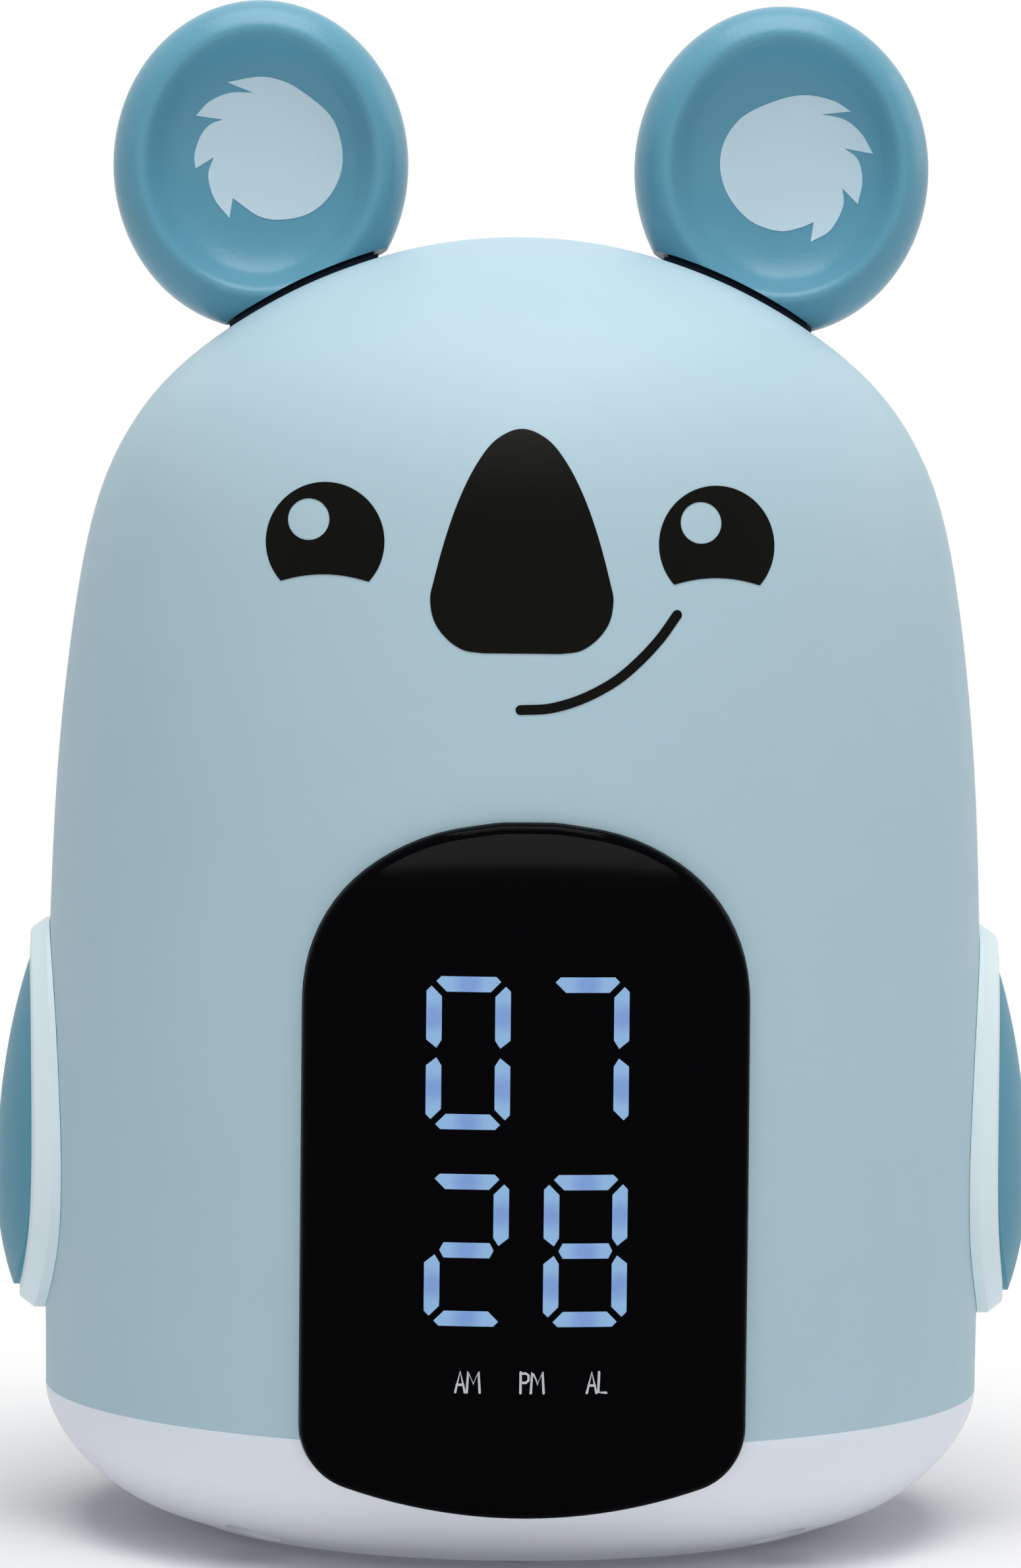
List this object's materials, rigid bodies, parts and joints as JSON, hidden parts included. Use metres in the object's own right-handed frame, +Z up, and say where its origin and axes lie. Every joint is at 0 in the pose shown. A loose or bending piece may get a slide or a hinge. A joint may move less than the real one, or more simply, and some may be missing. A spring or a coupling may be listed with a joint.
{
  "type": "alarm clock",
  "caption": "Bedside alarm clock for children: round-topped body with two press ears, a face, a black digital window, side arms and a glowing base.",
  "frame": {"origin": "centre of the outline on the table, under the soles of the feet", "axes": "+Z up, -Y out of the display and the face, +X to the right of someone who looks at the display"},
  "size_m": [0.1154, 0.1076, 0.1694],
  "materials": {
    "body_plastic": "satin, light blue",
    "diffuser_plastic": "satin, milky white, lets light through",
    "foot_rubber": "matte",
    "screw_steel": "zinc plated",
    "inner_plastic": "matte",
    "cell_jacket": "gloss",
    "spring_steel": "bright",
    "circuit_board": "satin",
    "stem_plastic": "satin, dark blue-grey",
    "lamp_plastic": "clear",
    "chip_black": "matte",
    "window_gloss": "polished black",
    "tape_black": "foam",
    "digit_glow": "lit, pale blue",
    "digit_dark": "unlit",
    "reflector_plastic": "matte black",
    "cable_plastic": "satin",
    "panel_plastic": "satin",
    "switch_plastic": "matte",
    "knob_plastic": "satin",
    "speaker_steel": "satin",
    "cone_paper": "paper",
    "button_plastic": "satin",
    "ear_plastic": "satin, mid blue",
    "arm_rim_plastic": "satin, pale blue",
    "arm_pad_plastic": "satin, mid blue"
  },
  "bodies": {
    "body": {"arm_left_pad": "arm_pad_plastic", "arm_left_rim": "arm_rim_plastic", "arm_right_pad": "arm_pad_plastic", "arm_right_rim": "arm_rim_plastic", "arm_screws": "screw_steel", "base_diffuser": "diffuser_plastic", "base_screws": "screw_steel", "battery_cells": "cell_jacket", "battery_contacts": "spring_steel", "battery_tray": "inner_plastic", "chassis": "inner_plastic", "chassis_screws": "screw_steel", "control_board": "circuit_board", "control_panel": "panel_plastic", "control_panel_screws": "screw_steel", "control_socket": "chip_black", "digits_dark": "digit_dark", "digits_lit": "digit_glow", "display_board": "circuit_board", "display_driver": "chip_black", "display_leds": "lamp_plastic", "display_reflector": "reflector_plastic", "display_window": "window_gloss", "dome_shell": "body_plastic", "ear_boards": "circuit_board", "ear_left_spring": "spring_steel", "ear_right_spring": "spring_steel", "ear_switches": "switch_plastic", "flat_cables": "cable_plastic", "light_board": "circuit_board", "main_board": "circuit_board", "main_board_parts": "chip_black", "night_lights": "lamp_plastic", "power_socket": "spring_steel", "power_switch_body": "switch_plastic", "rubber_feet": "foot_rubber", "small_screws": "screw_steel", "speaker_clamp": "inner_plastic", "speaker_cone": "cone_paper", "speaker_frame": "speaker_steel", "speaker_magnet": "speaker_steel", "tact_switches": "switch_plastic", "window_adhesive": "tape_black"},
    "ear_left": {"ear_left_shell": "ear_plastic", "ear_left_back": "ear_plastic", "ear_left_stem": "stem_plastic", "ear_left_clip": "spring_steel"},
    "ear_right": {"ear_right_shell": "ear_plastic", "ear_right_back": "ear_plastic", "ear_right_stem": "stem_plastic", "ear_right_clip": "spring_steel"},
    "button_set_cap": {"button_set": "button_plastic"},
    "button_minus_cap": {"button_minus": "button_plastic"},
    "button_plus_cap": {"button_plus": "button_plastic"},
    "button_alarm_cap": {"button_alarm": "button_plastic"},
    "button_light_cap": {"button_light": "button_plastic"},
    "power_switch": {"power_switch_knob": "knob_plastic"},
    "battery_cover": {"battery_door": "diffuser_plastic", "battery_door_screws": "screw_steel"}
  },
  "joints": [
    {"name": "ear_left_press", "type": "slide", "parent": "body", "child": "ear_left", "axis": [0, 0, -1], "range_m": [0, 0.0003], "stiffness_N_per_m": 600, "springref_m": -0.001, "deforming": ["ear_left_spring"]},
    {"name": "ear_right_press", "type": "slide", "parent": "body", "child": "ear_right", "axis": [0, 0, -1], "range_m": [0, 0.0003], "stiffness_N_per_m": 600, "springref_m": -0.001, "deforming": ["ear_right_spring"]},
    {"name": "button_set_press", "type": "slide", "parent": "body", "child": "button_set_cap", "axis": [0, -1, 0], "range_m": [0, 0.0008], "stiffness_N_per_m": 800, "springref_m": -0.0004},
    {"name": "button_minus_press", "type": "slide", "parent": "body", "child": "button_minus_cap", "axis": [0, -1, 0], "range_m": [0, 0.0008], "stiffness_N_per_m": 800, "springref_m": -0.0004},
    {"name": "button_plus_press", "type": "slide", "parent": "body", "child": "button_plus_cap", "axis": [0, -1, 0], "range_m": [0, 0.0008], "stiffness_N_per_m": 800, "springref_m": -0.0004},
    {"name": "button_alarm_press", "type": "slide", "parent": "body", "child": "button_alarm_cap", "axis": [0, -1, 0], "range_m": [0, 0.0008], "stiffness_N_per_m": 800, "springref_m": -0.0004},
    {"name": "button_light_press", "type": "slide", "parent": "body", "child": "button_light_cap", "axis": [0, -1, 0], "range_m": [0, 0.0008], "stiffness_N_per_m": 800, "springref_m": -0.0004},
    {"name": "power_switch_slide", "type": "slide", "parent": "body", "child": "power_switch", "axis": [1, 0, 0], "range_m": [0, 0.004]},
    {"name": "battery_door_lift_off", "type": "slide", "parent": "body", "child": "battery_cover", "axis": [0, 0, -1], "range_m": [0, 0.012]}
  ]
}
